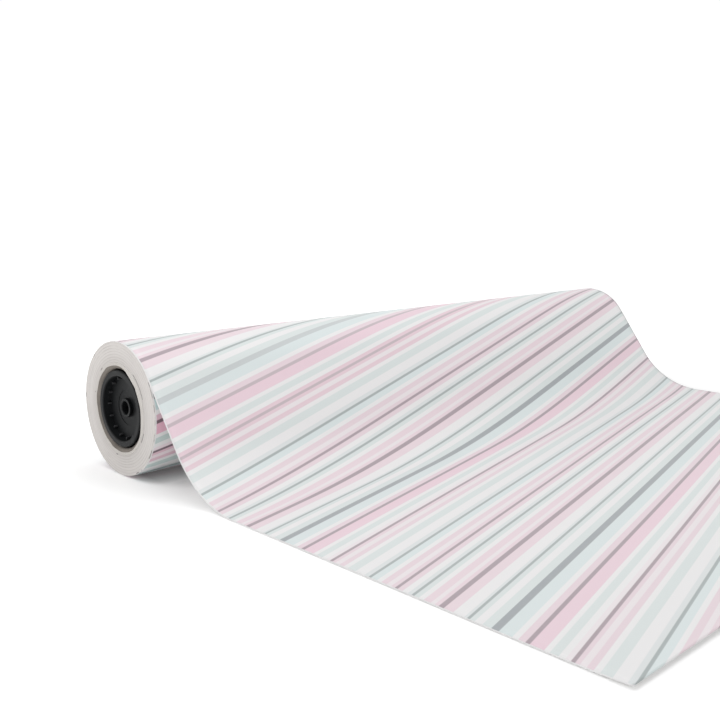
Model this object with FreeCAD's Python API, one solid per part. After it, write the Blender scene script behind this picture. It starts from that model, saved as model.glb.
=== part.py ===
"""Counter roll of gift-wrap paper, partly drawn out over a table.

The web of paper is wound on a board core. A push-in plug closes each end of the core, and its hub
takes the rod of a dispenser. The outer turn comes up the back of the roll, over the top, down the
front and out over the table.

Frame, in millimetres: X runs along the roll, +Y from the free end of the sheet towards the roll, +Z up.
The origin is on the table, under the middle of the whole outline.
"""

import FreeCAD, Part
import math
import os

Vector = FreeCAD.Vector

# Driving dimensions, in millimetres and degrees.
WEB_WIDTH = 610.0  # 24 in wide paper
ROLL_RADIUS = 49.2  # over the outer turn
SHEET_THICKNESS = 0.3  # solid that stands for one thin layer of paper
TURN_GAP = 0.3  # between the outer turn and the wound pack inside it
CORE_OUTER_RADIUS = 34.0
CORE_BORE_RADIUS = 28.9
CORE_CHAMFER = 1.5
LEAVE_ANGLE = 53.7  # where the sheet leaves the roll, forward of its top
TUCK_ANGLE = 182.0  # where the outer turn starts, backward of the roll's top
BEND_RADIUS = 78.0  # underside of the sheet where it meets the table
DRAWN_REACH = 416.0  # from the roll's axis to the sheet's free end

# Strips of tape that hold the start of the paper on the core.
TAPE_THICKNESS = 0.12
TAPE_WIDTH = 19.0
TAPE_LENGTH = 150.0
TAPE_COUNT = 3

# Plug, with depths measured inwards from its lip's face.
PLUG_RECESS = 0.2  # from the end of the core to the lip's face
PLUG_DEPTH = 28.0
LIP_RADIUS = 28.1
LIP_WIDTH = 4.4
LIP_DEPTH = 2.4
LIP_ROUND = 0.6
SLEEVE_RADIUS = 27.7
SLEEVE_END_RADIUS = 27.2
SLEEVE_WALL = 1.6
CUP_RADIUS = 23.1  # where the recess inside the lip meets the disc
WEB_EDGE_DEPTH = 6.2  # outer face of the dished disc at the recess's wall
WEB_INNER_DEPTH = 6.9  # the same face at the ring step
WEB_THICKNESS = 1.8
WEB_EASE = 1.0  # how far the disc's corners at its back are eased
RING_RADIUS = 13.0
RING_STEP = 0.3
HUB_RADIUS = 7.0
HUB_FACE_DEPTH = 4.6
HUB_END_DEPTH = 20.0
ROD_BORE_RADIUS = 4.85
HUB_CHAMFER = 0.5
RIB_COUNT = 8
RIB_THICKNESS = 1.4
RIB_END_DEPTH = 16.0
GUSSET_COUNT = 15
GUSSET_RADIUS = 21.2  # inner edge of each small rib in the corner of the recess
GUSSET_WIDTH = 1.0
GUSSET_HEIGHT = 2.6
GRIP_COUNT = 12
GRIP_WIDTH = 1.4
GRIP_RADIUS = 28.82
GRIP_START_DEPTH = 4.0
GRIP_END_DEPTH = 25.0
RIB_ROOT = 1.0  # how far a rib runs into what it stands on

# Worked out from the above.
PACK_RADIUS = ROLL_RADIUS - SHEET_THICKNESS - TURN_GAP
AXIS_HEIGHT = ROLL_RADIUS
AXIS_Y = (DRAWN_REACH - ROLL_RADIUS) / 2
HALF_WIDTH = WEB_WIDTH / 2
INNER_TURN_RADIUS = ROLL_RADIUS - SHEET_THICKNESS
ALONG_X = Vector(1, 0, 0)
AXIS_START = Vector(-HALF_WIDTH, AXIS_Y, AXIS_HEIGHT)


def at(forward, height):
    """A point in the plane of the web's left edge, forward of the roll's axis."""
    return Vector(-HALF_WIDTH, AXIS_Y - forward, height)


def on_roll(radius, angle):
    """A point round the roll, at an angle forward of its top."""
    turn = math.radians(angle)
    return at(radius * math.sin(turn), AXIS_HEIGHT + radius * math.cos(turn))


def bend_centre():
    """Where the centre of the bend at the table is, so that a straight run joins it to the roll."""
    slope = math.radians(LEAVE_ANGLE)
    drop = AXIS_HEIGHT + INNER_TURN_RADIUS * math.cos(slope) - BEND_RADIUS * (1 - math.cos(slope))
    run = drop / math.sin(slope)
    forward = INNER_TURN_RADIUS * math.sin(slope) + run * math.cos(slope) + BEND_RADIUS * math.sin(slope)
    return forward, BEND_RADIUS


def on_bend(radius, angle):
    """A point on the bend at the table, at an angle back from its touch-down line."""
    forward, height = bend_centre()
    turn = math.radians(angle)
    return at(forward - radius * math.sin(turn), height - radius * math.cos(turn))


def arc(point, radius, start, end):
    """An arc of on_roll or on_bend through its two ends and its middle."""
    middle = (start + end) / 2
    return Part.Arc(point(radius, start), point(radius, middle), point(radius, end)).toShape()


def line(start, end):
    return Part.LineSegment(start, end).toShape()


def extruded(edges):
    """A closed outline in the plane of the left edge, run out to the right edge."""
    return Part.Face(Part.Wire(edges)).extrude(Vector(WEB_WIDTH, 0, 0))


def outer_turn():
    """The last turn, from under the roll up its back to where the sheet leaves it."""
    outer = arc(on_roll, ROLL_RADIUS, -TUCK_ANGLE, LEAVE_ANGLE)
    inner = arc(on_roll, INNER_TURN_RADIUS, LEAVE_ANGLE, -TUCK_ANGLE)
    return extruded([
        outer,
        line(on_roll(ROLL_RADIUS, LEAVE_ANGLE), on_roll(INNER_TURN_RADIUS, LEAVE_ANGLE)),
        inner,
        line(on_roll(INNER_TURN_RADIUS, -TUCK_ANGLE), on_roll(ROLL_RADIUS, -TUCK_ANGLE)),
    ])


def sheet_drape():
    """The straight run down from the roll and the bend that lays the sheet on the table."""
    upper_radius = BEND_RADIUS - SHEET_THICKNESS
    return extruded([
        line(on_roll(ROLL_RADIUS, LEAVE_ANGLE), on_bend(upper_radius, LEAVE_ANGLE)),
        arc(on_bend, upper_radius, LEAVE_ANGLE, 0),
        line(on_bend(upper_radius, 0), on_bend(BEND_RADIUS, 0)),
        arc(on_bend, BEND_RADIUS, 0, LEAVE_ANGLE),
        line(on_bend(BEND_RADIUS, LEAVE_ANGLE), on_roll(INNER_TURN_RADIUS, LEAVE_ANGLE)),
        line(on_roll(INNER_TURN_RADIUS, LEAVE_ANGLE), on_roll(ROLL_RADIUS, LEAVE_ANGLE)),
    ])


def sheet_flat():
    """The part of the sheet that lies on the table, up to its free end."""
    touch_down = bend_centre()[0]
    corner = at(DRAWN_REACH, 0)
    return Part.makeBox(WEB_WIDTH, DRAWN_REACH - touch_down, SHEET_THICKNESS, corner)


def cylinder(radius, length=WEB_WIDTH, start=AXIS_START):
    return Part.makeCylinder(radius, length, start, ALONG_X)


def tape_strips(radius, clearance=0.0):
    """Strips on the core, each bent round it, at the even places that hold the web's start."""
    half_turn = math.degrees(TAPE_WIDTH / 2 / CORE_OUTER_RADIUS)
    pitch = WEB_WIDTH / TAPE_COUNT
    strips = []
    for i in range(TAPE_COUNT):
        middle = -HALF_WIDTH + pitch * (i + 0.5)
        start = Vector(middle - TAPE_LENGTH / 2 - clearance, AXIS_Y, AXIS_HEIGHT)
        length = TAPE_LENGTH + 2 * clearance
        sector = Part.makeCylinder(radius, length, start, ALONG_X, 2 * half_turn)
        strips.append(sector.cut(cylinder(CORE_OUTER_RADIUS)))
    return strips


def start_tape():
    return Part.makeCompound(tape_strips(CORE_OUTER_RADIUS + TAPE_THICKNESS))


def paper_pack():
    """All the inner turns, wound tight on the core, with the first turn stepped over the tape."""
    pack = cylinder(PACK_RADIUS).cut(cylinder(CORE_OUTER_RADIUS))
    for strip in tape_strips(CORE_OUTER_RADIUS + TAPE_THICKNESS):
        pack = pack.cut(strip)
    return pack


def core_tube():
    """Board tube as wide as the web, with its two mouths eased."""
    tube = cylinder(CORE_OUTER_RADIUS).cut(cylinder(CORE_BORE_RADIUS))
    mouths = [
        edge
        for edge in tube.Edges
        if edge.Curve.TypeId == "Part::GeomCircle" and abs(edge.Curve.Radius - CORE_BORE_RADIUS) < 0.01
    ]
    return tube.makeChamfer(CORE_CHAMFER, mouths)


def revolved(outline):
    """A closed outline of (depth, radius) points, turned about the plug's axis."""
    points = [Vector(depth, radius, 0) for depth, radius in outline]
    wire = Part.makePolygon(points + points[:1])
    return Part.Face(wire).revolve(Vector(0, 0, 0), ALONG_X, 360)


def round_the_axis(solid, count):
    """Copies of a solid, evenly spaced round the plug's axis."""
    copies = []
    for i in range(count):
        copy = solid.copy()
        copy.rotate(Vector(0, 0, 0), ALONG_X, 360 * i / count)
        copies.append(copy)
    return copies


def plug_shell():
    """Lip, sleeve, recess, dished disc, ring step and hub as one turned shape."""
    lip_inside = LIP_RADIUS - LIP_WIDTH
    sleeve_inside = SLEEVE_RADIUS - SLEEVE_WALL
    sleeve_end_inside = SLEEVE_END_RADIUS - SLEEVE_WALL
    ring_depth = WEB_INNER_DEPTH + RING_STEP
    return revolved([
        (0, lip_inside + LIP_ROUND),
        (0, LIP_RADIUS - LIP_ROUND),
        (LIP_ROUND, LIP_RADIUS),
        (LIP_DEPTH, LIP_RADIUS),
        (LIP_DEPTH, SLEEVE_RADIUS),
        (PLUG_DEPTH, SLEEVE_END_RADIUS),
        (PLUG_DEPTH, sleeve_end_inside),
        (WEB_EDGE_DEPTH + WEB_THICKNESS + WEB_EASE, sleeve_inside),
        (WEB_EDGE_DEPTH + WEB_THICKNESS, sleeve_inside - WEB_EASE),
        (WEB_INNER_DEPTH + WEB_THICKNESS, RING_RADIUS + WEB_EASE),
        (ring_depth + WEB_THICKNESS, RING_RADIUS),
        (ring_depth + WEB_THICKNESS, HUB_RADIUS),
        (HUB_END_DEPTH, HUB_RADIUS),
        (HUB_END_DEPTH, ROD_BORE_RADIUS),
        (HUB_FACE_DEPTH + HUB_CHAMFER, ROD_BORE_RADIUS),
        (HUB_FACE_DEPTH, ROD_BORE_RADIUS + HUB_CHAMFER),
        (HUB_FACE_DEPTH, HUB_RADIUS - HUB_CHAMFER / 2),
        (HUB_FACE_DEPTH + HUB_CHAMFER / 2, HUB_RADIUS),
        (ring_depth, HUB_RADIUS),
        (ring_depth, RING_RADIUS),
        (WEB_INNER_DEPTH, RING_RADIUS),
        (WEB_EDGE_DEPTH, CUP_RADIUS),
        (LIP_ROUND, lip_inside),
    ])


def stiffening_rib():
    """A rib behind the disc, from the hub to the sleeve."""
    start = WEB_EDGE_DEPTH + WEB_THICKNESS / 2
    reach = SLEEVE_END_RADIUS - SLEEVE_WALL / 2
    inside = HUB_RADIUS - RIB_ROOT
    block = Part.makeBox(
        RIB_END_DEPTH - start, reach - inside, RIB_THICKNESS, Vector(start, inside, -RIB_THICKNESS / 2)
    )
    middle = WEB_THICKNESS / 2
    in_front = revolved([
        (0, 0),
        (WEB_INNER_DEPTH + RING_STEP + middle, 0),
        (WEB_INNER_DEPTH + RING_STEP + middle, RING_RADIUS),
        (WEB_EDGE_DEPTH + middle, LIP_RADIUS),
        (0, LIP_RADIUS),
    ])
    return block.cut(in_front)


def gusset():
    """A small rib in the corner between the recess's wall and the disc."""
    start = WEB_EDGE_DEPTH - GUSSET_HEIGHT
    reach = CUP_RADIUS + RIB_ROOT - GUSSET_RADIUS
    corner = Vector(start, GUSSET_RADIUS, -GUSSET_WIDTH / 2)
    return Part.makeBox(GUSSET_HEIGHT + WEB_THICKNESS / 2, reach, GUSSET_WIDTH, corner)


def grip_rib():
    """A rib along the sleeve that grips the core's bore."""
    inside = SLEEVE_END_RADIUS - SLEEVE_WALL / 2
    corner = Vector(GRIP_START_DEPTH, inside, -GRIP_WIDTH / 2)
    block = Part.makeBox(GRIP_END_DEPTH - GRIP_START_DEPTH, GRIP_RADIUS, GRIP_WIDTH, corner)
    limit = Part.makeCylinder(GRIP_RADIUS, PLUG_DEPTH, Vector(0, 0, 0), ALONG_X)
    return block.common(limit)


def plug():
    """One plug with its lip's face at X = 0 and its sleeve towards +X."""
    extras = round_the_axis(stiffening_rib(), RIB_COUNT)
    extras += round_the_axis(gusset(), GUSSET_COUNT)
    extras += round_the_axis(grip_rib(), GRIP_COUNT)
    return plug_shell().fuse(extras).removeSplitter()


def placed_plugs():
    """The left plug and the right one, which faces the other way."""
    left = plug()
    right = left.copy()
    right.rotate(Vector(0, 0, 0), Vector(0, 0, 1), 180)
    lip_x = HALF_WIDTH - PLUG_RECESS
    left.translate(Vector(-lip_x, AXIS_Y, AXIS_HEIGHT))
    right.translate(Vector(lip_x, AXIS_Y, AXIS_HEIGHT))
    return left, right


def main():
    left_plug, right_plug = placed_plugs()
    nodes = {
        "outer_turn": outer_turn(),
        "sheet_drape": sheet_drape(),
        "sheet_flat": sheet_flat(),
        "paper_pack": paper_pack(),
        "core_tube": core_tube(),
        "start_tape": start_tape(),
        "left_plug": left_plug,
        "right_plug": right_plug,
    }
    os.makedirs("parts", exist_ok=True)
    for name, shape in nodes.items():
        shape.exportStep(f"parts/{name}.step")
        print(name, "solids", len(shape.Solids), "valid", shape.isValid(), "volume", round(shape.Volume, 1))


main()
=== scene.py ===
"""Looks of the wrapping paper roll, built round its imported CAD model.

Everything is in metres in the CAD model's frame: X along the roll, +Y from the sheet's free end
towards the roll, +Z up. The web is one strip of paper. A place on it is (across, along): across is
measured from the left edge, and along from the roll's top line towards the free end, so it is
negative on the back of the roll.
"""

import math

import bpy
import numpy as np
from mathutils import Matrix, Vector


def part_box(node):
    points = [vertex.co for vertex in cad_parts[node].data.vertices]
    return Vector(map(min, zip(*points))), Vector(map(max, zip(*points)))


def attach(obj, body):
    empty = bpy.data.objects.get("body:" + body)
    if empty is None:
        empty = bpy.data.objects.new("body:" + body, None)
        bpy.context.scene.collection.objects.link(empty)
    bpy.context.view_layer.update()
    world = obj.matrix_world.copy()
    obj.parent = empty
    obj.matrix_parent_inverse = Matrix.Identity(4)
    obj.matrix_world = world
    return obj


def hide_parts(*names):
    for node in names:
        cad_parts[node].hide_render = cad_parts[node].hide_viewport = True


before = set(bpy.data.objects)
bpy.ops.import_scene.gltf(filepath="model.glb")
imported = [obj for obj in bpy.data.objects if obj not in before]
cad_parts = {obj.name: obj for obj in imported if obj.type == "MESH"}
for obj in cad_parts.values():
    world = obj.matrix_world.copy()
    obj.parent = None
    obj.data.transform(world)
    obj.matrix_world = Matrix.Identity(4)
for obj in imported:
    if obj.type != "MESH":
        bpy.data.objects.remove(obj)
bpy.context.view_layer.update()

MM = 0.001

# Places and sizes that the CAD model holds.
TURN_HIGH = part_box("outer_turn")[1]
PACK_LOW, PACK_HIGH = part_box("paper_pack")
CORE_LOW, CORE_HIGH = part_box("core_tube")
FLAT_LOW, FLAT_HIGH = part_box("sheet_flat")
HALF_WIDTH = TURN_HIGH.x
WEB_WIDTH = 2 * HALF_WIDTH
AXIS_Y = (PACK_LOW.y + PACK_HIGH.y) / 2
AXIS_Z = (PACK_LOW.z + PACK_HIGH.z) / 2
ROLL_RADIUS = TURN_HIGH.z - AXIS_Z
CORE_RADIUS = (CORE_HIGH.z - CORE_LOW.z) / 2

# Sizes that the CAD model's boxes can't give.
LEAVE_ANGLE = math.radians(53.7)
TUCK_ANGLE = math.radians(182)
BEND_RADIUS = 78 * MM
CORE_WALL = 5.1 * MM
PAPER_THICKNESS = 0.1 * MM
PACK_RADIUS = (PACK_HIGH.z - PACK_LOW.z) / 2 + 0.4 * MM
UNPRINTED_EDGE = 0.9 * MM

# How the laid sheet stands off the table.
WAVE_HEIGHT = 0.4 * MM
WAVE_START = 60 * MM
CURL_HEIGHT = 1.8 * MM
CURL_LENGTH = 16 * MM

# The ends of the roll. Radii are from the roll's axis, and depths are inwards from the end.
EDGE_LINE_PITCH = 2.05 * MM
# Radii where turns stand open, with the scale of their broken patches; the gaps there get painted shade.
SHADED_OPEN_TURNS = ((48.4 * MM, 85), (35.0 * MM, 110))
DARKER_BELOW = 41 * MM
PLY_PITCH = 0.62 * MM
GUSSET_DEPTH = 6.2 * MM
GUSSET_RADII = (20 * MM, 22.6 * MM)

# The print: stripes on a slant across the web, which repeat along it.
PRINT_SLANT = math.radians(14.53)
PRINT_REPEAT = 158.5 * MM
PRINT_START = 222.3 * MM
STRIPE_EDGE = 0.5 * MM

INKS = {
    "white": (1.0, 1.0, 1.0),
    "charcoal": (0.47, 0.505, 0.525),
    "silver": (0.70, 0.745, 0.75),
    "mint": (0.855, 0.94, 0.94),
    "pale_mint": (0.855, 0.92, 0.91),
    "faint_grey": (0.88, 0.92, 0.92),
    "teal": (0.50, 0.555, 0.555),
    "pink": (0.985, 0.785, 0.86),
    "soft_pink": (0.97, 0.83, 0.88),
    "blush": (0.955, 0.82, 0.87),
    "rose": (0.945, 0.765, 0.825),
    "pale_pink": (1.0, 0.945, 0.965),
    "mauve": (0.52, 0.435, 0.475),
    "dusky_mauve": (0.70, 0.60, 0.64),
}

# Each stripe's ink and width in mm, in order along the web.
STRIPES = [
    ("charcoal", 4.5), ("mint", 7.8), ("white", 3.4), ("blush", 4.0), ("mauve", 2.5),
    ("pink", 7.9), ("white", 3.0), ("pale_mint", 4.7), ("white", 3.5), ("pale_pink", 2.9),
    ("mauve", 2.1), ("blush", 2.4), ("pale_pink", 3.5), ("blush", 3.5), ("white", 3.3),
    ("pale_mint", 6.0), ("white", 7.0), ("faint_grey", 3.1), ("teal", 1.9), ("mint", 4.5),
    ("white", 3.2), ("blush", 4.0), ("pale_pink", 3.3), ("blush", 2.7), ("mauve", 2.0),
    ("blush", 3.5), ("white", 3.8), ("faint_grey", 2.6), ("teal", 1.8), ("pale_mint", 3.2),
    ("white", 3.3), ("soft_pink", 4.8), ("pale_pink", 2.7), ("soft_pink", 2.6), ("mauve", 3.3),
    ("soft_pink", 6.2), ("white", 7.1), ("faint_grey", 1.7), ("teal", 1.7), ("pale_mint", 3.0),
    ("white", 4.7), ("pale_mint", 5.3),
]
# Every third repeat has a few softer inks.
SOFTER = {0: "silver", 4: "dusky_mauve", 9: "rose", 10: "dusky_mauve", 11: "rose", 13: "rose"}
SOFTER_STRIPES = [(SOFTER.get(i, ink), width) for i, (ink, width) in enumerate(STRIPES)]

WHITE_PAPER = (0.778, 0.77, 0.772)


# ---------------------------------------------------------------- the path of the web


def web_path(along):
    """(y, z, slope) of the printed side at a distance along the web. The slope is its angle below level."""
    turn_end = ROLL_RADIUS * LEAVE_ANGLE
    if along <= turn_end:
        angle = along / ROLL_RADIUS
        return AXIS_Y - ROLL_RADIUS * math.sin(angle), AXIS_Z + ROLL_RADIUS * math.cos(angle), angle
    bend = BEND_RADIUS - PAPER_THICKNESS
    drop = AXIS_Z + ROLL_RADIUS * math.cos(LEAVE_ANGLE) - bend * (1 - math.cos(LEAVE_ANGLE)) - FLAT_HIGH.z
    run = drop / math.sin(LEAVE_ANGLE)
    run_end = turn_end + run
    y = AXIS_Y - ROLL_RADIUS * math.sin(LEAVE_ANGLE)
    if along <= run_end:
        past = along - turn_end
        z = AXIS_Z + ROLL_RADIUS * math.cos(LEAVE_ANGLE) - past * math.sin(LEAVE_ANGLE)
        return y - past * math.cos(LEAVE_ANGLE), z, LEAVE_ANGLE
    touch_down = y - run * math.cos(LEAVE_ANGLE) - bend * math.sin(LEAVE_ANGLE)
    bend_end = run_end + bend * LEAVE_ANGLE
    if along <= bend_end:
        angle = LEAVE_ANGLE - (along - run_end) / bend
        return touch_down + bend * math.sin(angle), FLAT_HIGH.z + bend * (1 - math.cos(angle)), angle
    return touch_down - (along - bend_end), FLAT_HIGH.z, 0.0


def flat_start():
    """How far along the web it meets the table."""
    bend = BEND_RADIUS - PAPER_THICKNESS
    drop = AXIS_Z + ROLL_RADIUS * math.cos(LEAVE_ANGLE) - bend * (1 - math.cos(LEAVE_ANGLE)) - FLAT_HIGH.z
    return ROLL_RADIUS * LEAVE_ANGLE + drop / math.sin(LEAVE_ANGLE) + bend * LEAVE_ANGLE


WEB_START = -ROLL_RADIUS * TUCK_ANGLE
FLAT_START = flat_start()
WEB_END = FLAT_START + (web_path(FLAT_START)[0] - FLAT_LOW.y)


def lift(across, along):
    """How far the laid sheet stands off the table: slow waves, and a slight curl at its free end."""
    past = along - FLAT_START
    if past <= 0:
        return 0.0
    grow = min(past / WAVE_START, 1.0)
    grow = grow * grow * (3 - 2 * grow)
    phase = across * 13 + past * 9
    wave = 0.5 + 0.5 * math.sin(phase) * math.sin(across * 7.3 - past * 5 + 1.1)
    left = WEB_END - along
    curl = CURL_HEIGHT * math.exp(-left / CURL_LENGTH) * (0.75 + 0.25 * math.sin(across * 11))
    return grow * WAVE_HEIGHT * wave + curl


# ---------------------------------------------------------------- materials


def new_material(name):
    material = bpy.data.materials.new(name)
    material.use_nodes = True
    material.node_tree.nodes.clear()
    return material


def add(material, kind, inputs=None, **settings):
    """A node with its settings and inputs. An input is a value, or a socket to link from."""
    made = material.node_tree.nodes.new(kind)
    for key, value in settings.items():
        setattr(made, key, value)
    for key, value in (inputs or {}).items():
        if isinstance(value, bpy.types.NodeSocket):
            material.node_tree.links.new(value, made.inputs[key])
        else:
            made.inputs[key].default_value = value
    return made


def calculate(material, operation, *values, clamp=False):
    made = add(material, "ShaderNodeMath", dict(enumerate(values)), operation=operation, use_clamp=clamp)
    return made.outputs[0]


def mix_colours(material, factor, first, second, blend="MIX"):
    made = add(material, "ShaderNodeMix", data_type="RGBA", blend_type=blend)
    links = material.node_tree.links
    for socket, value in ((made.inputs[0], factor), (made.inputs[6], first), (made.inputs[7], second)):
        if isinstance(value, bpy.types.NodeSocket):
            links.new(value, socket)
        else:
            socket.default_value = value
    return made.outputs[2]


def colour(red, green, blue):
    return (red, green, blue, 1.0)


def remap(material, value, low, high, to_low=0.0, to_high=1.0):
    made = add(material, "ShaderNodeMapRange",
               {0: value, 1: low, 2: high, 3: to_low, 4: to_high})
    return made.outputs[0]


def noise(material, vector, scale, detail=3.0, roughness=0.5, dimensions="3D"):
    made = add(material, "ShaderNodeTexNoise",
               {"Vector": vector, "Scale": scale, "Detail": detail, "Roughness": roughness},
               noise_dimensions=dimensions)
    return made.outputs[0]


def bump(material, height, distance, strength=1.0, normal=None):
    inputs = {"Height": height, "Distance": distance, "Strength": strength}
    if normal is not None:
        inputs["Normal"] = normal
    return add(material, "ShaderNodeBump", inputs).outputs[0]


def object_place(material):
    return add(material, "ShaderNodeTexCoord").outputs["Object"]


def surface(material, base, roughness, normal, specular=0.5, coat=0.0, coat_roughness=0.3):
    """The principled shader and the output, from sockets or plain values."""
    shader = add(material, "ShaderNodeBsdfPrincipled",
                 {"Base Color": base, "Roughness": roughness, "Normal": normal,
                  "Specular IOR Level": specular, "Coat Weight": coat, "Coat Roughness": coat_roughness})
    add(material, "ShaderNodeOutputMaterial", {"Surface": shader.outputs[0]})
    return material


def fibre_bump(material, place, distance=0.02 * MM):
    """The faint cockle and fibre of machine-made paper."""
    fibre = noise(material, place, 2600, 4, 0.65)
    cockle = noise(material, place, 90, 2, 0.5)
    height = calculate(material, "ADD", fibre, calculate(material, "MULTIPLY", cockle, 2.5))
    return bump(material, height, distance, 0.5)


def stripe_colour(material, place, stripes):
    """Ink colour at a place from 0 to 1 along one repeat. A ramp holds 32 stops, so there are several."""
    total = sum(width for _, width in stripes)
    edges, start = [], 0.0
    for i, (ink, width) in enumerate(stripes):
        edges.append((start / total, INKS[stripes[i - 1][0]], INKS[ink]))
        start += width
    half_edge = STRIPE_EDGE / PRINT_REPEAT / 2
    per_ramp = 14
    result = None
    for i in range(0, len(edges), per_ramp):
        chunk = edges[i:i + per_ramp]
        low = chunk[0][0] - half_edge
        high = edges[i + per_ramp][0] if i + per_ramp < len(edges) else 1.0
        stops = []
        for at, before, after in chunk:
            stops += [(at - half_edge, before), (at + half_edge, after)]
        ramp = add(material, "ShaderNodeValToRGB", {0: remap(material, place, low, high)})
        elements = ramp.color_ramp.elements
        while len(elements) < len(stops):
            elements.new(0.5)
        for element, (at, _) in zip(elements, stops):
            element.position = (at - low) / (high - low)
        for element, (_, ink) in zip(elements, stops):
            element.color = colour(*ink)
        if result is None:
            result = ramp.outputs[0]
        else:
            past = calculate(material, "GREATER_THAN", place, low)
            result = mix_colours(material, past, result, ramp.outputs[0])
    return result


def printed_paper(name, depth):
    """White paper with the slanted stripes, in the web's own (across, along) coordinates.

    Depth is how strong the inks are, as a power of their colour. A high power paints in shade: the deep
    colour that light takes on bouncing between the sheet and the roll.
    """
    material = new_material(name)
    web = add(material, "ShaderNodeUVMap", uv_map="web")
    parts = add(material, "ShaderNodeSeparateXYZ", {0: web.outputs[0]})
    across, along = parts.outputs[0], parts.outputs[1]
    slanted = calculate(material, "MULTIPLY_ADD", across, math.tan(PRINT_SLANT), along)
    past_start = calculate(material, "SUBTRACT", slanted, PRINT_START)
    repeats = calculate(material, "DIVIDE", past_start, PRINT_REPEAT)
    place = calculate(material, "FRACT", repeats)
    third = calculate(material, "FLOORED_MODULO", calculate(material, "FLOOR", repeats), 3.0)
    softer = calculate(material, "GREATER_THAN", third, 1.5)
    ink = mix_colours(material, softer, stripe_colour(material, place, STRIPES),
                      stripe_colour(material, place, SOFTER_STRIPES))
    ink = add(material, "ShaderNodeGamma", {0: ink, 1: depth}).outputs[0]
    object_at = object_place(material)
    mottle = remap(material, noise(material, object_at, 260, 3), 0.3, 0.7, 0.97, 1.0)
    off_middle = calculate(material, "ABSOLUTE", calculate(material, "SUBTRACT", across, HALF_WIDTH))
    from_edge = calculate(material, "SUBTRACT", HALF_WIDTH, off_middle)
    inked = remap(material, from_edge, UNPRINTED_EDGE - 0.1 * MM, UNPRINTED_EDGE + 0.1 * MM)
    printed = calculate(material, "MULTIPLY", mottle, inked)
    ink = mix_colours(material, printed, colour(1, 1, 1), ink)
    base = mix_colours(material, 1.0, colour(*WHITE_PAPER), ink, "MULTIPLY")
    sheen = remap(material, noise(material, object_at, 35, 2), 0.3, 0.7, 0.44, 0.52)
    return surface(material, base, sheen, fibre_bump(material, object_at, 0.012 * MM), 0.5, 0.2, 0.35)


def plain_paper():
    """The uncoated back and the cut edges of the web."""
    material = new_material("uncoated_paper")
    place = object_place(material)
    tone = remap(material, noise(material, place, 400, 4, 0.6), 0.3, 0.7)
    base = mix_colours(material, tone, colour(0.80, 0.795, 0.785), colour(0.85, 0.845, 0.835))
    rough = remap(material, tone, 0, 1, 0.7, 0.82)
    return surface(material, base, rough, fibre_bump(material, place), 0.3)


def from_axis(material):
    """(distance from the roll's axis, angle round it as a share of a turn)."""
    parts = add(material, "ShaderNodeSeparateXYZ", {0: object_place(material)})
    y = calculate(material, "SUBTRACT", parts.outputs[1], AXIS_Y)
    z = calculate(material, "SUBTRACT", parts.outputs[2], AXIS_Z)
    square = calculate(material, "MULTIPLY_ADD", y, y, calculate(material, "MULTIPLY", z, z))
    turn = calculate(material, "DIVIDE", calculate(material, "ARCTAN2", z, y), 2 * math.pi)
    return calculate(material, "SQRT", square), turn


def wound_edges():
    """The cut edges of the wound turns.

    Thin darker lines follow the spiral, and painted shade fills broken gaps at the front where turns stand
    open.
    """
    material = new_material("wound_paper_edges")
    radius, turn = from_axis(material)
    place = object_place(material)
    drift = noise(material, place, 22, 2)
    layer = calculate(material, "ADD", calculate(material, "DIVIDE", radius, EDGE_LINE_PITCH), turn)
    layer = calculate(material, "MULTIPLY_ADD", drift, 0.7, layer)
    off_line = calculate(material, "PINGPONG", layer, 0.5)
    line = remap(material, off_line, 0.04, 0.2, 1.0, 0.0)
    patchy = remap(material, noise(material, place, 60, 2), 0.35, 0.65, 0.45, 1.0)
    line = calculate(material, "MULTIPLY", line, patchy)
    fine = add(material, "ShaderNodeTexNoise",
               {"W": calculate(material, "MULTIPLY", layer, 9.0), "Scale": 1.0, "Detail": 2.0},
               noise_dimensions="1D").outputs[0]
    base = mix_colours(material, remap(material, fine, 0.3, 0.7), colour(0.53, 0.504, 0.485),
                       colour(0.605, 0.578, 0.559))
    inward = remap(material, radius, CORE_RADIUS, DARKER_BELOW, 0.4, 0.0)
    base = mix_colours(material, inward, base, colour(0.40, 0.375, 0.36))
    base = mix_colours(material, calculate(material, "MULTIPLY", line, 0.45), base, colour(0.33, 0.30, 0.285))
    front = remap(material, calculate(material, "ABSOLUTE", turn), 0.34, 0.38, 0.0, 0.12)
    # Painted shade: near-black broken lines at the radii where turns stand open, stronger towards the front.
    for open_at, scale in SHADED_OPEN_TURNS:
        off = calculate(material, "ABSOLUTE", calculate(material, "SUBTRACT", radius, open_at))
        gap = remap(material, off, 0.12 * MM, 0.4 * MM, 1.0, 0.0)
        patch = calculate(material, "ADD", noise(material, place, scale, 1), front)
        gap_shade = remap(material, patch, 0.61, 0.64, 0.0, 0.95)
        base = mix_colours(material, calculate(material, "MULTIPLY", gap, gap_shade), base,
                           colour(0.04, 0.035, 0.035))
    height = calculate(material, "SUBTRACT", calculate(material, "MULTIPLY", fine, 0.3), line)
    normal = bump(material, height, 0.12 * MM, 0.7)
    grain = noise(material, place, 1800, 3)
    return surface(material, base, 0.8, bump(material, grain, 0.03 * MM, 0.5, normal), 0.25)


def board_cut():
    """The core's cut end: pale board with the lines of its plies."""
    material = new_material("board_cut")
    radius, _ = from_axis(material)
    ply = calculate(material, "PINGPONG", calculate(material, "DIVIDE", radius, PLY_PITCH), 0.5)
    place = object_place(material)
    rough = noise(material, place, 1500, 5, 0.7)
    dark = calculate(material, "MULTIPLY", remap(material, ply, 0.0, 0.12, 1.0, 0.0), 0.35)
    base = mix_colours(material, remap(material, rough, 0.3, 0.7), colour(0.47, 0.445, 0.42),
                       colour(0.57, 0.547, 0.522))
    base = mix_colours(material, dark, base, colour(0.48, 0.42, 0.36))
    return surface(material, base, 0.88, bump(material, rough, 0.12 * MM, 0.8), 0.2)


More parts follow.
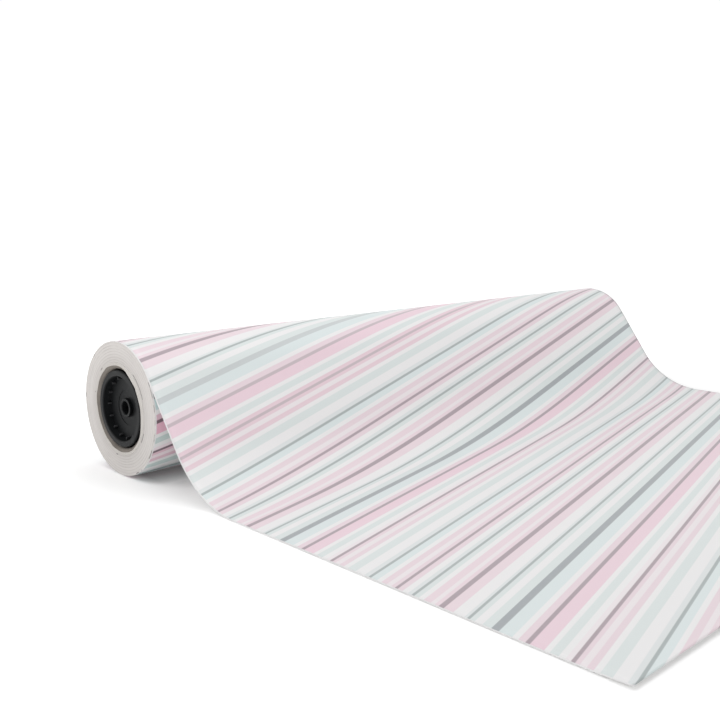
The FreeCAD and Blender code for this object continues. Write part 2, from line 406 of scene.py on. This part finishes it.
def board_liner():
    """The grey-brown inner and outer plies of the core, with recycled flecks."""
    material = new_material("board_liner")
    place = object_place(material)
    fleck = noise(material, place, 900, 6, 0.75)
    cloud = noise(material, place, 60, 3)
    base = mix_colours(material, remap(material, cloud, 0.3, 0.7), colour(0.155, 0.138, 0.122),
                       colour(0.215, 0.192, 0.17))
    base = mix_colours(material, remap(material, fleck, 0.58, 0.7, 0, 0.5), base, colour(0.08, 0.067, 0.057))
    base = mix_colours(material, remap(material, fleck, 0.42, 0.3, 0, 0.3), base, colour(0.34, 0.31, 0.28))
    return surface(material, base, 0.85, bump(material, fleck, 0.05 * MM, 0.6), 0.25)


def black_plastic():
    """Moulded black polypropylene: a fine spark-eroded grain, paler scuffs, and a painted highlight that
    makes the gussets paler.
    """
    material = new_material("black_moulded_plastic")
    place = object_place(material)
    grain = noise(material, place, 3200, 3, 0.6)
    flow = noise(material, place, 55, 3)
    scuff = remap(material, noise(material, place, 420, 6, 0.75), 0.6, 0.74)
    radius, _ = from_axis(material)
    across = calculate(material, "ABSOLUTE", add(material, "ShaderNodeSeparateXYZ", {0: place}).outputs[0])
    depth = calculate(material, "SUBTRACT", HALF_WIDTH, across)
    shallow = calculate(material, "LESS_THAN", depth, GUSSET_DEPTH)
    beyond = calculate(material, "GREATER_THAN", radius, GUSSET_RADII[0])
    within = calculate(material, "LESS_THAN", radius, GUSSET_RADII[1])
    gusset_highlight = calculate(material, "MULTIPLY", shallow, calculate(material, "MULTIPLY", beyond, within))
    base = mix_colours(material, flow, colour(0.004, 0.0045, 0.005), colour(0.009, 0.010, 0.011))
    base = mix_colours(material, calculate(material, "MULTIPLY", scuff, 0.3), base,
                       colour(0.04, 0.042, 0.045))
    # Painted highlight: the gussets are painted paler, standing in for the light their edges catch.
    base = mix_colours(material, calculate(material, "MULTIPLY", gusset_highlight, 0.8), base,
                       colour(0.05, 0.05, 0.053))
    rough = calculate(material, "ADD", remap(material, flow, 0.3, 0.7, 0.42, 0.54),
                      calculate(material, "MULTIPLY", scuff, 0.15))
    return surface(material, base, rough, bump(material, grain, 0.02 * MM, 0.6), 0.17)


def tape():
    """Double-sided tape: a straw-coloured adhesive with fine bubbles."""
    material = new_material("double_sided_tape")
    place = object_place(material)
    bubble = noise(material, place, 700, 4)
    base = mix_colours(material, bubble, colour(0.62, 0.52, 0.34), colour(0.78, 0.70, 0.52))
    return surface(material, base, 0.35, bump(material, bubble, 0.02 * MM, 0.5), 0.5)


# ---------------------------------------------------------------- meshes


def new_mesh_object(name, points, faces, materials, face_material=None, web=None, smooth=None):
    """A mesh piece. web holds each point's (across, along) on the web, for the print."""
    mesh = bpy.data.meshes.new(name)
    mesh.from_pydata([tuple(p) for p in points], [], [tuple(int(i) for i in f) for f in faces])
    for material in materials:
        mesh.materials.append(material)
    if face_material is not None:
        mesh.polygons.foreach_set("material_index", np.asarray(face_material, np.int32))
    flags = np.ones(len(faces), bool) if smooth is None else np.asarray(smooth, bool)
    mesh.polygons.foreach_set("use_smooth", flags)
    if web is not None:
        layer = mesh.uv_layers.new(name="web")
        corners = np.zeros(len(mesh.loops), np.int32)
        mesh.loops.foreach_get("vertex_index", corners)
        layer.data.foreach_set("uv", np.asarray(web, np.float32)[corners].ravel())
    mesh.validate()
    mesh.update()
    made = bpy.data.objects.new(name, mesh)
    bpy.context.scene.collection.objects.link(made)
    return made


def spaced(start, end, step):
    count = max(int(math.ceil((end - start) / step)), 1)
    return [start + (end - start) * i / count for i in range(count + 1)]


def web_rows():
    """Distances along the web for the sheet's rows: closer together where it bends."""
    turn_end = ROLL_RADIUS * LEAVE_ANGLE
    bend_start = FLAT_START - (BEND_RADIUS - PAPER_THICKNESS) * LEAVE_ANGLE
    curl_start = WEB_END - 30 * MM
    rows = spaced(WEB_START, turn_end, 2.1 * MM)
    rows += spaced(turn_end, bend_start, 4 * MM)[1:]
    rows += spaced(bend_start, FLAT_START, 2.6 * MM)[1:]
    rows += spaced(FLAT_START, curl_start, 5 * MM)[1:]
    rows += spaced(curl_start, WEB_END, 2 * MM)[1:]
    return rows


def paper_sheet(printed, plain):
    """The outer turn, the drape and the laid sheet, as one thin closed sheet of paper."""
    rows = web_rows()
    columns = spaced(0, WEB_WIDTH, 6 * MM)
    across_count = len(columns)
    top, under, web = [], [], []
    for along in rows:
        y, z, slope = web_path(along)
        out = Vector((0, -math.sin(slope), math.cos(slope)))
        for across in columns:
            place = Vector((across - HALF_WIDTH, y, z)) + out * lift(across, along)
            top.append(place)
            under.append(place - out * PAPER_THICKNESS)
            web.append((across, along))
    offset = len(top)
    faces, kinds, smooth = [], [], []

    def quad(a, b, c, d, kind, soft):
        faces.append((a, b, c, d))
        kinds.append(kind)
        smooth.append(soft)

    for i in range(len(rows) - 1):
        for j in range(across_count - 1):
            a = i * across_count + j
            b = a + 1
            c = b + across_count
            d = a + across_count
            quad(a, d, c, b, 0, True)
            quad(a + offset, b + offset, c + offset, d + offset, 1, True)
    last = (len(rows) - 1) * across_count
    for j in range(across_count - 1):
        quad(j, j + 1, j + 1 + offset, j + offset, 1, False)
        quad(last + j + 1, last + j, last + j + offset, last + j + 1 + offset, 1, False)
    for i in range(len(rows) - 1):
        left = i * across_count
        right = left + across_count - 1
        quad(left + across_count, left, left + offset, left + across_count + offset, 1, False)
        quad(right, right + across_count, right + across_count + offset, right + offset, 1, False)
    return new_mesh_object("paper_sheet", top + under, faces, [printed, plain], kinds, web + web, smooth)


def wound_pack(printed, edges):
    """The wound turns: a printed outside, and two end faces made of the stepped edges of the turns."""
    steps = 144
    turns = 26
    inside = CORE_RADIUS + 0.03 * MM
    pitch = (PACK_RADIUS - inside) / (turns + 1)
    groove = 0.1 * pitch
    turn_step, group_step = 0.06 * MM, 0.14 * MM
    random = np.random.default_rng(7)
    per_turn = random.uniform(0, 1, turns + 4)
    few = np.arange(0, turns + 8, 4)
    groups = np.interp(np.arange(turns + 4), few, random.uniform(0, 1, len(few)))

    def sunk(position):
        """How far a turn's edge lies inside the roll's end, at a position counted in turns."""
        low = int(position)
        share = position - low
        share = share * share * (3 - 2 * share)
        fine = per_turn[low] * (1 - share) + per_turn[low + 1] * share
        group = groups[low] * (1 - share) + groups[low + 1] * share
        return turn_step * fine + group_step * group

    points, faces, kinds, smooth, web = [], [], [], [], []

    def point(x, radius, angle, along=0.0):
        points.append((x, AXIS_Y - radius * math.sin(angle), AXIS_Z + radius * math.cos(angle)))
        web.append((x + HALF_WIDTH, along))
        return len(points) - 1

    def face(corners, kind, soft, flip):
        faces.append(tuple(reversed(corners)) if flip else tuple(corners))
        kinds.append(kind)
        smooth.append(soft)

    total = turns * steps
    for side in (-1, 1):
        flip = side > 0
        inner, outer = [], []
        for j in range(total + steps + 1):
            position = j / steps
            angle = 2 * math.pi * position
            low = inside + pitch * (position - 1)
            low_radius = max(low + groove, inside)
            high_radius = PACK_RADIUS if j >= total else max(low + pitch - groove, inside)
            x = side * (HALF_WIDTH - sunk(position))
            inner.append(point(x, low_radius, angle))
            outer.append(point(x, high_radius, angle))
        for j in range(total + steps):
            face((inner[j], inner[j + 1], outer[j + 1], outer[j]), 1, True, flip)
            if j + steps < total + steps:
                face((outer[j], outer[j + 1], inner[j + 1 + steps], inner[j + steps]), 1, False, flip)
    # The outside of the pack. Its print goes on from the start of the sheet and makes two whole repeats
    # round it, so that it has no join. Its ends stand back a little from the cut edges.
    end_in = 0.08 * MM
    columns = spaced(-HALF_WIDTH, HALF_WIDTH, 12 * MM)
    columns[0] += end_in
    columns[-1] -= end_in
    grid = []
    for x in columns:
        row = []
        for k in range(steps + 1):
            angle = -math.pi - 2 * math.pi * k / steps
            along = -ROLL_RADIUS * math.pi - 2 * PRINT_REPEAT * k / steps
            row.append(point(x, PACK_RADIUS, angle, along))
        grid.append(row)
    for first, second in zip(grid, grid[1:]):
        for k in range(steps):
            face((first[k], first[k + 1], second[k + 1], second[k]), 0, True, False)
    return new_mesh_object("wound_pack", points, faces, [printed, edges], kinds, web, smooth)


def board_core(cut, liner):
    """The core: a spirally wound tube with a seam inside, ply steps on its ends and worn mouths."""
    steps = 180
    eased, worn_back, crushed_back, ragged = 0.45 * MM, 2.6 * MM, 0.8 * MM, 0.3 * MM
    mouth_depth = 5 * MM
    wear_places = 36
    bore = CORE_RADIUS - CORE_WALL
    skin = CORE_RADIUS - 0.02 * MM
    random = np.random.default_rng(11)
    uneven = random.uniform(-1, 1, (2, wear_places))
    seam_pitch = 190 * MM
    seam_dip, seam_width = 0.18 * MM, 0.9 * MM

    def wear(side, angle):
        """How far the mouth is worn back from the bore, at an angle forward of the roll's top.

        It is whole at the front and crushed at the back.
        """
        place = (angle / (2 * math.pi)) % 1.0 * wear_places
        low = int(place) % wear_places
        share = place - int(place)
        share = share * share * (3 - 2 * share)
        rough = uneven[side][low] * (1 - share) + uneven[side][(low + 1) % wear_places] * share
        turned = math.degrees(angle)
        whole = math.exp(-((turned - 66) / 48) ** 4)
        crushed = math.exp(-((turned - 292) / 42) ** 4)
        return eased + worn_back * (1 - whole) + crushed_back * crushed + ragged * rough

    def end_outline(side, angle):
        """Outline of one end from the outside in: (radius, how far inside the end)."""
        worn = wear(side, angle)
        lip = bore + worn
        ply = (skin - lip) / 3
        outline = [(skin, 1.2 * MM), (skin, 0.12 * MM)]
        for i, sink in enumerate((0.0, 0.12, 0.03)):
            high = skin - ply * i - 0.05 * MM
            low = skin - ply * (i + 1) + 0.05 * MM
            outline += [(high, sink * MM), (low, sink * MM)]
        outline += [(lip, 0.06 * MM), (lip - 0.12 * MM, 0.35 * MM), (bore + 0.55 * worn, 0.8 * MM),
                    (bore + 0.2 * worn, 1.7 * MM), (bore, 3.2 * MM)]
        return outline

    points, faces, kinds = [], [], []
    lengths = spaced(-HALF_WIDTH + mouth_depth, HALF_WIDTH - mouth_depth, 5 * MM)
    rings = []
    for k in range(steps):
        angle = 2 * math.pi * k / steps
        loop = [(-HALF_WIDTH + inset, radius) for radius, inset in end_outline(0, angle)]
        for x in lengths:
            turn = (x / seam_pitch - angle / (2 * math.pi)) % 1.0
            off_seam = min(turn, 1 - turn) * seam_pitch
            loop.append((x, bore + seam_dip * math.exp(-(off_seam / seam_width) ** 2)))
        loop += [(HALF_WIDTH - inset, radius) for radius, inset in reversed(end_outline(1, angle))]
        ring = []
        for x, radius in loop:
            points.append((x, AXIS_Y - radius * math.sin(angle), AXIS_Z + radius * math.cos(angle)))
            ring.append(len(points) - 1)
        rings.append(ring)
    count = len(rings[0])
    lip_at = 8
    for k in range(steps):
        ring, after = rings[k], rings[(k + 1) % steps]
        for i in range(count):
            j = (i + 1) % count
            faces.append((ring[i], ring[j], after[j], after[i]))
            kinds.append(1 if lip_at < i < count - 2 - lip_at or i in (0, count - 2, count - 1) else 0)
    return new_mesh_object("board_core", points, faces, [cut, liner], kinds)


# ---------------------------------------------------------------- pieces


PRINTED = printed_paper("printed_paper", 1.1)
# Painted shade: the wound pack's print gets much deeper inks, for the darker, richer colour of light bounced
# between the sheet and the roll.
SHADED_PRINTED = printed_paper("printed_paper_painted_shade", 2.4)
PLAIN = plain_paper()

sheet = paper_sheet(PRINTED, PLAIN)
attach(sheet, "sheet")
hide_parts("outer_turn", "sheet_drape", "sheet_flat")

pack = wound_pack(SHADED_PRINTED, wound_edges())
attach(pack, "roll")
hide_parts("paper_pack")

core = board_core(board_cut(), board_liner())
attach(core, "roll")
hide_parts("core_tube")

PLASTIC = black_plastic()
for plug in ("left_plug", "right_plug"):
    for material_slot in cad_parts[plug].material_slots:
        material_slot.material = PLASTIC
for material_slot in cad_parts["start_tape"].material_slots:
    material_slot.material = tape()


# ---------------------------------------------------------------- floor, light and camera


def studio_floor():
    """A white floor that glows round the sheet and the roll, with a painted contact shadow where the roll
    touches it.
    """
    glow_reach, near_glow, far_glow = 130 * MM, 0.085, 0.42
    mesh = bpy.data.meshes.new("studio_floor")
    size = 6.0
    low = -0.25 * MM
    mesh.from_pydata([(-size, -size, low), (size, -size, low), (size, size, low), (-size, size, low)],
                     [], [(0, 1, 2, 3)])
    floor = bpy.data.objects.new("studio_floor", mesh)
    bpy.context.scene.collection.objects.link(floor)
    material = new_material("studio_floor")
    place = object_place(material)
    parts = add(material, "ShaderNodeSeparateXYZ", {0: place})
    off_centre = [calculate(material, "ABSOLUTE", parts.outputs[i]) for i in (0, 1)]
    past_end = calculate(material, "SUBTRACT", off_centre[0], HALF_WIDTH)
    past_side = calculate(material, "SUBTRACT", off_centre[1], -FLAT_LOW.y)
    outside = [calculate(material, "MAXIMUM", past, 0.0) for past in (past_end, past_side)]
    squares = [calculate(material, "MULTIPLY", length, length) for length in outside]
    away = calculate(material, "SQRT", calculate(material, "ADD", *squares))
    glow = add(material, "ShaderNodeMapRange", {0: away, 1: 0.0, 2: glow_reach, 3: near_glow, 4: far_glow},
               interpolation_type="SMOOTHSTEP").outputs[0]
    # Painted contact shadow: the floor's colour goes dark, a little mauve, in a strip under the roll.
    from_roll = calculate(material, "ABSOLUTE", calculate(material, "SUBTRACT", parts.outputs[1], AXIS_Y))
    under = calculate(material, "MULTIPLY", remap(material, from_roll, 10 * MM, 42 * MM, 1.0, 0.0),
                      remap(material, past_end, -12 * MM, 0.0, 1.0, 0.0))
    base = mix_colours(material, under, colour(0.95, 0.95, 0.95), colour(0.10, 0.075, 0.09))
    shader = add(material, "ShaderNodeBsdfPrincipled",
                 {"Base Color": base, "Roughness": 0.9, "Specular IOR Level": 0.1,
                  "Emission Color": colour(1, 1, 1), "Emission Strength": glow})
    add(material, "ShaderNodeOutputMaterial", {"Surface": shader.outputs[0]})
    mesh.materials.append(material)


def studio_world():
    """White all round at the height of the roll, and dimmer overhead."""
    low, high, low_strength, high_strength = 0.24, 0.7, 1.02, 0.55
    world = bpy.data.worlds.new("studio")
    bpy.context.scene.world = world
    world.use_nodes = True
    nodes, links = world.node_tree.nodes, world.node_tree.links
    nodes.clear()
    place = nodes.new("ShaderNodeTexCoord")
    parts = nodes.new("ShaderNodeSeparateXYZ")
    height = nodes.new("ShaderNodeMapRange")
    background = nodes.new("ShaderNodeBackground")
    output = nodes.new("ShaderNodeOutputWorld")
    links.new(place.outputs["Generated"], parts.inputs[0])
    links.new(parts.outputs[2], height.inputs[0])
    for socket, value in zip(height.inputs[1:5], (low, high, low_strength, high_strength)):
        socket.default_value = value
    background.inputs[0].default_value = colour(1, 1, 1)
    links.new(height.outputs[0], background.inputs[1])
    links.new(background.outputs[0], output.inputs[0])


def soft_light(name, place, target, size, power):
    data = bpy.data.lights.new(name, "AREA")
    data.shape = "DISK"
    data.size = size
    data.energy = power
    light = bpy.data.objects.new(name, data)
    light.location = place
    light.rotation_mode = "QUATERNION"
    light.rotation_quaternion = (Vector(target) - Vector(place)).to_track_quat("-Z", "Y")
    bpy.context.scene.collection.objects.link(light)


def studio_camera():
    """The camera, placed in roll radii from the table under the roll's left end."""
    yaw, pitch, roll = math.radians(43.84), math.radians(9.90), math.radians(0.38)
    ahead = Vector((math.sin(yaw) * math.cos(pitch), math.cos(yaw) * math.cos(pitch), -math.sin(pitch)))
    level = Vector((math.cos(yaw), -math.sin(yaw), 0))
    upward = level.cross(ahead)
    right = level * math.cos(roll) + upward * math.sin(roll)
    upright = upward * math.cos(roll) - level * math.sin(roll)
    data = bpy.data.cameras.new("camera")
    data.lens = 46.97
    data.sensor_width = 36
    data.clip_start = 0.01
    data.clip_end = 100
    camera = bpy.data.objects.new("camera", data)
    from_end = Vector((-6.769, -12.146, 4.101)) * ROLL_RADIUS
    place = Vector((-HALF_WIDTH, AXIS_Y, 0)) + from_end
    turn = Matrix((right, upright, -ahead)).transposed().to_4x4()
    camera.matrix_world = Matrix.Translation(place) @ turn
    bpy.context.scene.collection.objects.link(camera)
    bpy.context.scene.camera = camera


studio_floor()
studio_world()
soft_light("overhead", (-0.1, 0.1, 0.95), (-0.1, 0.1, 0.0), 1.0, 3.3)
soft_light("side", (-1.1, 0.5, 1.2), (-0.1, 0.1, 0.0), 0.8, 5.0)
studio_camera()
bpy.context.scene.view_settings.view_transform = "Standard"
